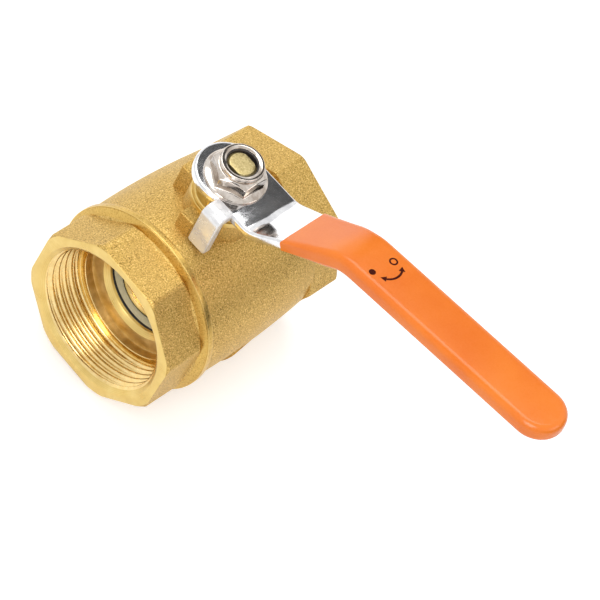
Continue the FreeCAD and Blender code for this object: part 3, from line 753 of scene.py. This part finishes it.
def make_gland():
    """Gland nut: a plain skirt inside the neck and a hexagon head with a turned chamfer."""
    corner = GLAND_HALF_FLATS / math.cos(math.pi / 6)
    bore_ease = 0.3

    def head(a, z):
        lathe = corner - max(0.0, z - (GLAND_TOP_Z - 0.7)) * 2
        return soft_min(polygon_radius(a, 6, 0.0, GLAND_HALF_FLATS), lathe, 0.15)

    rows = [(GLAND_LOW_Z, STEM_BORE_R, 0), (GLAND_LOW_Z, PACKING_BORE_R, 0), (NECK_TOP_Z, PACKING_BORE_R, 0),
            (NECK_TOP_Z, head, 0)]
    rows += [(z, head, 0) for z in steps(NECK_TOP_Z + 0.2, GLAND_TOP_Z, 14)]
    rows += [(GLAND_TOP_Z, STEM_BORE_R + bore_ease, 0), (GLAND_TOP_Z - bore_ease, STEM_BORE_R, 0)]
    return polar("gland_nut_piece", rows, corner_angles(6, 0.0, HEX_FINE), "z")


def make_nut():
    """Flange nut: rounded flange, hexagon with turned chamfer, polished collar."""
    half, corner = NUT_HALF_FLATS, NUT_HALF_FLATS / math.cos(math.pi / 6)
    flange_r = half + 2.1
    flange_top, hex_top = NUT_LOW_Z + 1.2, NUT_LOW_Z + 5.2
    collar_r, lip_r = 5.85, 4.4
    lip_low, insert_seat = NUT_TOP_Z - 0.46, NUT_TOP_Z - 2.4

    def outside(a, z):
        flange = flange_r - 0.02 - max(0.0, z - NUT_LOW_Z - 0.5) * (flange_r - half) / 0.7
        lathe = corner + 0.05 - max(0.0, z - (hex_top - 1.0)) * 1.6
        hexagon = soft_min(polygon_radius(a, 6, NUT_TURN, half), lathe, 0.22)
        return -soft_min(-hexagon, -flange, 0.5)

    rows = [(NUT_LOW_Z, NUT_BORE_R, 0), (NUT_LOW_Z, flange_r - 0.25, 0),
            (NUT_LOW_Z + 0.08, flange_r - 0.08, 0), (NUT_LOW_Z + 0.25, flange_r, 0),
            (NUT_LOW_Z + 0.42, flange_r - 0.03, 0)]
    rows += [(z, outside, 0) for z in steps(NUT_LOW_Z + 0.52, flange_top + 0.4, 9)]
    rows += [(z, outside, 0) for z in steps(flange_top + 0.6, hex_top - 1.2, 5)]
    rows += [(z, outside, 0) for z in steps(hex_top - 1.0, hex_top, 10)]
    rows += [(h, r, 0) for h, r in rounded([
        (hex_top, collar_r, 0.12), (NUT_TOP_Z, collar_r, 1.0), (NUT_TOP_Z, INSERT_R + 0.1, 0.3),
        (NUT_TOP_Z - 0.28, lip_r, 0.15), (lip_low, lip_r, 0.05), (lip_low, INSERT_R, 0),
        (insert_seat, INSERT_R, 0), (insert_seat, NUT_BORE_R, 0)], 7)]
    return polar("lock_nut_piece", rows, corner_angles(6, NUT_TURN, HEX_FINE), "z")


def make_insert():
    top, base = high("nut_insert", 2), low("nut_insert", 2)
    return turned("nut_insert_piece", [(base, NUT_BORE_R, 0), (base, INSERT_R, 0), (top, INSERT_R, 0.1),
                                       (top, NUT_BORE_R, 0.25)], "z")


# ---- lever and grip -----------------------------------------------------
RAMP_START, RAMP_END, RAMP_RISE, GRIP_SLOPE = 14.4, 38.6, 17.4, 0.128
FIRST_BEND_R, SECOND_BEND_R = 7.0, 16.0
HEAD_R, HEAD_SHIFT, NECK_HALF, GRIP_HALF, TAPER_START, TAPER_END = 9.9, 1.5, 9.2, 6.1, 13.0, 38.0
GRIP_SKIN, GRIP_FULL = 0.3, 34.4        # thickness where the coating starts, and where it is whole
BEYOND_END = 20                         # how far the lever's line runs past its end
LEVER_TOP_ROUND, LEVER_LOW_ROUND = 0.8, 0.5
GRIP_TOP_ROUND, GRIP_LOW_ROUND = 2.0, 1.7
TAB_REACH, TAB_T, TAB_MID_Y, TAB_HALF, TAB_CHAMFER, TAB_ROUND = 13.7, 2.6, -5.3, 3.0, 0.5, 0.35
TAB_ROOT_X, TAB_BEYOND = -4.0, 5        # where the tab starts in the lever, and its line's spare length


def lever_line():
    """Dense (distance, height, slope angle) points along the lever's top line."""
    ramp, grip = math.atan2(RAMP_RISE, RAMP_END - RAMP_START), math.atan(GRIP_SLOPE)
    corners = [(RAMP_START, LEVER_TOP_Z, 0.0, ramp, FIRST_BEND_R),
               (RAMP_END, LEVER_TOP_Z + RAMP_RISE, ramp, grip, SECOND_BEND_R)]
    line = [(-2 * HEAD_R, LEVER_TOP_Z, 0.0)]
    for d, z, a_in, a_out, radius in corners:
        cut = radius * abs(math.tan((a_out - a_in) / 2))
        sign = math.copysign(1, a_out - a_in)
        centre = (d - cut * math.cos(a_in) - sign * radius * math.sin(a_in),
                  z - cut * math.sin(a_in) + sign * radius * math.cos(a_in))
        for a in steps(a_in, a_out, 24):
            line.append((centre[0] + sign * radius * math.sin(a), centre[1] - sign * radius * math.cos(a), a))
    last, end = line[-1], LEVER_END + BEYOND_END
    line.append((end, last[1] + (end - last[0]) * GRIP_SLOPE, grip))
    return line


LINE = lever_line()


def on_lever(side, distance, offset):
    """Point beside the lever's centreline, at an offset from its top surface."""
    for (d0, z0, a0), (d1, z1, a1) in zip(LINE, LINE[1:]):
        if distance <= d1:
            t = (distance - d0) / max(d1 - d0, 1e-9)
            angle = a0 + (a1 - a0) * t
            z = z0 + (z1 - z0) * t
            break
    return (BALL_X + side, -(distance - offset * math.sin(angle)), z + offset * math.cos(angle))


def plate(name, outline, layers, place, mark=0):
    """Closed plate from an outline (distance, half width) that shrinks by each layer's inset."""
    verts, faces = [], []
    for inset, offset in layers:
        stations = outline(inset)
        verts += [place(w, d, offset) for d, w in stations]
        verts += [place(-w, d, offset) for d, w in reversed(stations)]
    ring = 2 * len(stations)
    for k in range(len(layers) - 1):
        for i in range(ring):
            j = (i + 1) % ring
            faces.append((k * ring + i, k * ring + j, (k + 1) * ring + j, (k + 1) * ring + i))
    for base in (0, (len(layers) - 1) * ring):
        for i in range(ring // 2 - 1):
            faces.append((base + i, base + i + 1, base + ring - 2 - i, base + ring - 1 - i))
    return new_object(name, verts, faces, [mark] * len(faces))


def edge_layers(above, below, top_round, bottom_round, count=5):
    """Insets and offsets from the top face over both rounded edges to the bottom face."""
    layers = [(top_round * (1 - math.sin(t)), above - top_round * (1 - math.cos(t)))
              for t in steps(0, math.pi / 2, count)]
    layers += [(bottom_round * (1 - math.cos(t)), -below + bottom_round * (1 - math.sin(t)))
               for t in steps(0, math.pi / 2, count)]
    return layers


def half_width(d):
    """Half the lever's width at a distance from the stem, past its round head."""
    if d <= TAPER_START:
        return NECK_HALF
    if d >= TAPER_END:
        return GRIP_HALF
    t = (d - TAPER_START) / (TAPER_END - TAPER_START)
    return NECK_HALF + (GRIP_HALF - NECK_HALF) * t


def lever_outline(inset):
    """(distance, half width) round the head, down the taper and round the far end."""
    head, neck, tip = HEAD_R - inset, NECK_HALF - inset, GRIP_HALF - inset
    meet = math.acos(neck / head)
    stations = [(head * math.sin(a) - HEAD_SHIFT, head * math.cos(a)) for a in steps(-math.pi / 2, meet, 30)]
    stations += [(d, half_width(d) - inset)
                 for d in steps(head * math.sin(meet) - HEAD_SHIFT, LEVER_END - GRIP_HALF, 96)[1:]]
    centre = LEVER_END - GRIP_HALF
    stations += [(centre + tip * math.sin(a), tip * math.cos(a)) for a in steps(0, math.pi / 2, 14)[1:]]
    return stations


def grip_outline(inset):
    """As lever_outline, for the coating, from where it starts."""
    grow = GRIP_T - inset
    centre = LEVER_END - GRIP_HALF
    tip = GRIP_HALF + grow
    stations = [(d, half_width(d) + grow) for d in steps(GRIP_START + min(inset, 0.5), centre, 90)]
    stations += [(centre + tip * math.sin(a), tip * math.cos(a)) for a in steps(0, math.pi / 2, 24)[1:]]
    return stations


LEVER_LAYERS = edge_layers(0, LEVER_T, LEVER_TOP_ROUND, LEVER_LOW_ROUND)
TAB_MARK = 1                            # material slot of the tab's duller plating


def make_lever():
    """Bent plated lever with its edges rolled over, and the stop tab bent down."""
    lever = plate("lever_piece", lever_outline, LEVER_LAYERS, on_lever)
    bend_x, bend_z = TAB_T - TAB_REACH, LEVER_TOP_Z - TAB_T
    line = [(TAB_ROOT_X, LEVER_TOP_Z, 0.0)]
    for a in steps(0, math.pi / 2, 12):
        line.append((bend_x - TAB_T * math.sin(a), bend_z + TAB_T * math.cos(a), a))
    line.append((-TAB_REACH, low("lever", 2) - TAB_BEYOND, math.pi / 2))
    lengths = [0.0]
    for p, q in zip(line, line[1:]):
        lengths.append(lengths[-1] + math.hypot(q[0] - p[0], q[1] - p[1]))
    total = lengths[-1] - TAB_BEYOND

    def on_tab(side, along, offset):
        k = next(k for k in range(len(line) - 1) if along <= lengths[k + 1])
        t = (along - lengths[k]) / (lengths[k + 1] - lengths[k])
        x, z, a = (p + (q - p) * t for p, q in zip(line[k], line[k + 1]))
        return (BALL_X + x - offset * math.sin(a), TAB_MID_Y + side, z + offset * math.cos(a))

    def tab_outline(inset):
        shrink = TAB_CHAMFER + inset * 0.4
        body = [(s, TAB_HALF - inset) for s in steps(0, total - shrink, 30)]
        return body + [(total - inset, TAB_HALF - shrink), (total - inset, 0.0)]

    tab = plate("tab", tab_outline, edge_layers(0, TAB_T, TAB_ROUND, TAB_ROUND), on_tab, TAB_MARK)
    return combine(lever, tab, "UNION")


def coat_share(distance):
    """Coating thickness along the grip, as a share of the full one."""
    t = min(max((distance - GRIP_START) / (GRIP_FULL - GRIP_START), 0.0), 1.0)
    return (GRIP_SKIN + (GRIP_T - GRIP_SKIN) * t) / GRIP_T


def make_grip():
    """Dipped coating with soft round edges, thinning out to a skin where it starts."""
    def on_coat(side, distance, offset):
        share = coat_share(distance)
        thinner = math.copysign(min(abs(side), GRIP_T * (1 - share)), side)
        if offset > 0:
            offset *= share
        elif offset < -LEVER_T:
            offset = (offset + LEVER_T) * share - LEVER_T
        return on_lever(side - thinner, distance, offset)

    layers = edge_layers(GRIP_T, LEVER_T + GRIP_T, GRIP_TOP_ROUND, GRIP_LOW_ROUND, 9)
    grip = plate("grip_piece", grip_outline, layers, on_coat)
    core = plate("grip_core", lever_outline, LEVER_LAYERS, on_lever)
    return combine(grip, core, "DIFFERENCE")


# ---- printed mark on the grip -------------------------------------------
# Places are (side, distance) from the stem on the grip's top.
ARC_AT, ARC_R, ARC_LINE = (0.05, 47.2), 4.16, 0.58
ARC_FROM, ARC_TO = math.radians(-45), math.radians(32)
ARROW_TURN, ARROW_HALF = 0.36, 0.85
RING_AT, RING_R, RING_LINE = (2.8, 47.3), 0.95, 0.45
DOT_AT, DOT_R, DOT_SIDES = (-4.2, 46.5), 0.9, 24
INK_PROUD, INK_SUNK = 0.035, 0.02


def strip(points, width, closed=False):
    """Flat quads either side of a line of (side, distance) points."""
    quads, edges = [], []
    count = len(points)
    for i, (s, d) in enumerate(points):
        a, b = points[i - 1 if i or closed else 0], points[(i + 1) % count if i + 1 < count or closed else i]
        t = Vector((b[0] - a[0], b[1] - a[1])).normalized()
        edges.append(((s - t.y * width / 2, d + t.x * width / 2), (s + t.y * width / 2, d - t.x * width / 2)))
    for i in range(count if closed else count - 1):
        a, b = edges[i], edges[(i + 1) % count]
        quads.append((a[0], a[1], b[1], b[0]))
    return quads


def circle(centre, radius, count):
    return [(centre[0] + radius * math.cos(a), centre[1] + radius * math.sin(a)) for a in even_angles(count)]


def arc_point(a):
    return (ARC_AT[0] + ARC_R * math.sin(a), ARC_AT[1] + ARC_R * math.cos(a))


def make_mark():
    """Generic turning mark: a double-headed arc, a full dot for shut, a ring for open."""
    quads = strip([arc_point(a) for a in steps(ARC_FROM, ARC_TO, 20)], ARC_LINE)
    for a, way in ((ARC_FROM, -1), (ARC_TO, 1)):
        tip, base = arc_point(a + way * ARROW_TURN), arc_point(a)
        t = Vector((tip[0] - base[0], tip[1] - base[1])).normalized() * ARROW_HALF
        quads.append((tip, (base[0] - t.y, base[1] + t.x), base, (base[0] + t.y, base[1] - t.x)))
    quads += strip(circle(RING_AT, RING_R, 28), RING_LINE, closed=True)
    dot = circle(DOT_AT, DOT_R, DOT_SIDES)
    quads += [(DOT_AT, dot[k], dot[(k + 1) % DOT_SIDES]) for k in range(DOT_SIDES)]
    verts, faces = [], []
    for quad in quads:
        size = len(quad)
        base = len(verts)
        for offset in (GRIP_T + INK_PROUD, GRIP_T - INK_SUNK):
            verts += [on_lever(s, d, offset) for s, d in quad]
        faces += [tuple(range(base, base + size)), tuple(range(base + 2 * size - 1, base + size - 1, -1))]
        faces += [(base + k, base + (k + 1) % size, base + size + (k + 1) % size, base + size + k)
                  for k in range(size)]
    mesh = bpy.data.meshes.new("grip_mark")
    mesh.from_pydata([Vector(v) * MM for v in verts], [], faces)
    mesh.materials.append(INK_M)
    bm = bmesh.new()
    bm.from_mesh(mesh)
    bmesh.ops.recalc_face_normals(bm, faces=bm.faces)
    bm.to_mesh(mesh)
    bm.free()
    return link_object("grip_mark", mesh)


# ---- pieces on their bodies ---------------------------------------------
def finish_piece(obj, node, material=None, limit=32):
    """Give a piece its finish and hang it on its node's body; brass pieces keep their own finishes.
    A pair of materials is for the first slot and for all the rest."""
    if material:
        pair = material if isinstance(material, tuple) else (material, material)
        for i in range(len(obj.data.materials)):
            obj.data.materials[i] = pair[min(i, 1)]
    smooth_shade(obj, limit)
    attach(obj, BODY_OF[node])
    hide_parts(node)


finish_piece(make_body(), "body")
finish_piece(make_retainer(), "retainer")
finish_piece(make_ball(), "ball", BALL_M)
finish_piece(make_seat("inlet_seat_piece", -1), "inlet_seat", PTFE_WITH_PAINTED_BRASS_REFLECTION_M)
finish_piece(make_seat("outlet_seat_piece", 1), "outlet_seat", PTFE_WITH_PAINTED_BRASS_REFLECTION_M)
finish_piece(make_backing_ring("inlet_backing_ring_piece", POCKET_X, SEAT_BACK_X), "inlet_backing_ring",
             RUBBER_M)
finish_piece(make_backing_ring("outlet_backing_ring_piece", OUTLET_POCKET_X, high("outlet_seat", 0)),
             "outlet_backing_ring", RUBBER_M)
finish_piece(make_stem(), "stem", STEM_M)
finish_piece(make_gland(), "gland_nut", FACED_M)
finish_piece(make_lever(), "lever", (CHROME_M, TAB_M), limit=40)
finish_piece(make_grip(), "grip", VINYL_M, limit=40)
finish_piece(make_nut(), "lock_nut", NUT_M, limit=50)
finish_piece(make_insert(), "nut_insert", NYLON_M)

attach(make_mark(), BODY_OF["grip"])

for node, material in (("retainer_gasket", FIBRE_M), ("stem_o_ring", RUBBER_M), ("thrust_washer", PTFE_WITH_PAINTED_BRASS_REFLECTION_M),
                       ("packing_ring_lower", PTFE_WITH_PAINTED_BRASS_REFLECTION_M), ("packing_ring_upper", PTFE_WITH_PAINTED_BRASS_REFLECTION_M)):
    for holder in frame["nodes"][node].material_slots:
        holder.link = "OBJECT"
        holder.material = material


# ---- floor, light, camera, in metres ------------------------------------
FLOOR_DROP, FLOOR_HALF, FLOOR_GREY, FLOOR_GLOW = 0.0002, 0.9, 0.85, 0.45
AMBIENT = 0.36
TARGET = Vector((BALL_X * MM, -0.02, 0.01))
LEVER_CARD_TARGET = Vector((0.040, -0.010, 0.040))
NUT_CARD_TARGET = Vector((BALL_X * MM, 0, 0.042))
GRIP_CARD_TARGET = Vector((0.0335, -0.070, 0.060))
CAMERA_AT = (-0.5168, -0.2446, 0.7578)
CAMERA_FORWARD = Vector((0.585, 0.226, -0.779))
CAMERA_UP = Vector((0.445, 0.713, 0.541))
CAMERA_LENS, CAMERA_SENSOR = 221.95, 36


def direct_rays(tree):
    """1 for camera, glossy and transmission rays, 0 for the rest."""
    path = tree.nodes.new("ShaderNodeLightPath")
    total = path.outputs["Is Camera Ray"]
    for ray in ("Is Glossy Ray", "Is Transmission Ray"):
        add = tree.nodes.new("ShaderNodeMath")
        add.operation = "ADD"
        add.use_clamp = True
        tree.links.new(total, add.inputs[0])
        tree.links.new(path.outputs[ray], add.inputs[1])
        total = add.outputs[0]
    return total


def flat_sheet(name, half_x, half_y, z=0.0):
    """Level rectangle for the studio, and its material's tree."""
    mesh = bpy.data.meshes.new(name)
    mesh.from_pydata([(-half_x, -half_y, z), (half_x, -half_y, z), (half_x, half_y, z), (-half_x, half_y, z)],
                     [], [(0, 1, 2, 3)])
    sheet = link_object(name, mesh)
    material = bpy.data.materials.new(name)
    material.use_nodes = True
    mesh.materials.append(material)
    return sheet, material.node_tree


def aim(obj, place, target):
    """Put an object somewhere with its -Z axis towards a target."""
    obj.location = place
    obj.rotation_mode = "QUATERNION"
    obj.rotation_quaternion = (target - Vector(place)).to_track_quat("-Z", "Y")


def make_floor():
    """White to the camera and in reflections, but still dark where the object shades it."""
    _, tree = flat_sheet("floor", FLOOR_HALF, FLOOR_HALF, cad_low.z - FLOOR_DROP)
    shader = tree.nodes["Principled BSDF"]
    shader.inputs["Base Color"].default_value = (FLOOR_GREY, FLOOR_GREY, FLOOR_GREY, 1)
    shader.inputs["Roughness"].default_value = 0.9
    shader.inputs["Specular IOR Level"].default_value = 0.0
    shader.inputs["Emission Color"].default_value = (1, 1, 1, 1)
    amount = tree.nodes.new("ShaderNodeMath")
    amount.operation = "MULTIPLY"
    amount.inputs[1].default_value = FLOOR_GLOW
    tree.links.new(direct_rays(tree), amount.inputs[0])
    tree.links.new(amount.outputs[0], shader.inputs["Emission Strength"])


def make_world():
    world = bpy.data.worlds.new("studio")
    bpy.context.scene.world = world
    world.use_nodes = True
    tree = world.node_tree
    background = tree.nodes["Background"]
    background.inputs["Color"].default_value = (1, 1, 1, 1)
    strength = tree.nodes.new("ShaderNodeMapRange")
    strength.inputs["To Min"].default_value = AMBIENT
    strength.inputs["To Max"].default_value = 1.0
    tree.links.new(direct_rays(tree), strength.inputs["Value"])
    tree.links.new(strength.outputs["Result"], background.inputs["Strength"])


def softbox(name, place, size, power):
    data = bpy.data.lights.new(name, "AREA")
    data.shape = "RECTANGLE"
    data.size, data.size_y = size
    data.energy = power
    aim(link_object(name, data), place, TARGET)


def dark_card(name, place, size, target, shade):
    """Black studio card that only shows as a reflection in the metal."""
    card, tree = flat_sheet(name, size[0] / 2, size[1] / 2)
    aim(card, place, target)
    shader = tree.nodes["Principled BSDF"]
    shader.inputs["Base Color"].default_value = (shade, shade, shade, 1)
    shader.inputs["Roughness"].default_value = 1.0
    card.visible_camera = False
    card.visible_diffuse = False
    card.visible_shadow = False


def make_camera():
    data = bpy.data.cameras.new("camera")
    data.sensor_width = CAMERA_SENSOR
    data.lens = CAMERA_LENS
    data.clip_start, data.clip_end = 0.01, 20
    forward = CAMERA_FORWARD.normalized()
    right = forward.cross(CAMERA_UP).normalized()
    up = right.cross(forward)
    camera = link_object("camera", data)
    camera.matrix_world = Matrix.Translation(CAMERA_AT) @ Matrix((right, up, -forward)).transposed().to_4x4()
    bpy.context.scene.camera = camera


make_floor()
make_world()
softbox("key", (-0.55, -0.15, 0.75), (0.5, 0.5), 4.0)
softbox("top", (0.25, 0.35, 0.85), (0.7, 0.5), 3.0)
softbox("side", (0.3, -0.8, 0.45), (0.5, 0.4), 1.2)
softbox("back", (0.44, 0.55, 0.08), (0.4, 0.3), 0.22)
dark_card("card_low", (0.25, -0.55, 0.10), (0.9, 0.35), TARGET, 0.03)
dark_card("card_lever", (0.130, 0.022, 0.110), (0.06, 0.08), LEVER_CARD_TARGET, 0.12)
dark_card("card_nut", (-0.0275, -0.044, 0.1355), (0.05, 0.05), NUT_CARD_TARGET, 0.03)
dark_card("card_grip", (0.355, 0.155, 0.445), (0.22, 0.20), GRIP_CARD_TARGET, 0.10)
make_camera()
bpy.context.scene.view_settings.view_transform = "Standard"
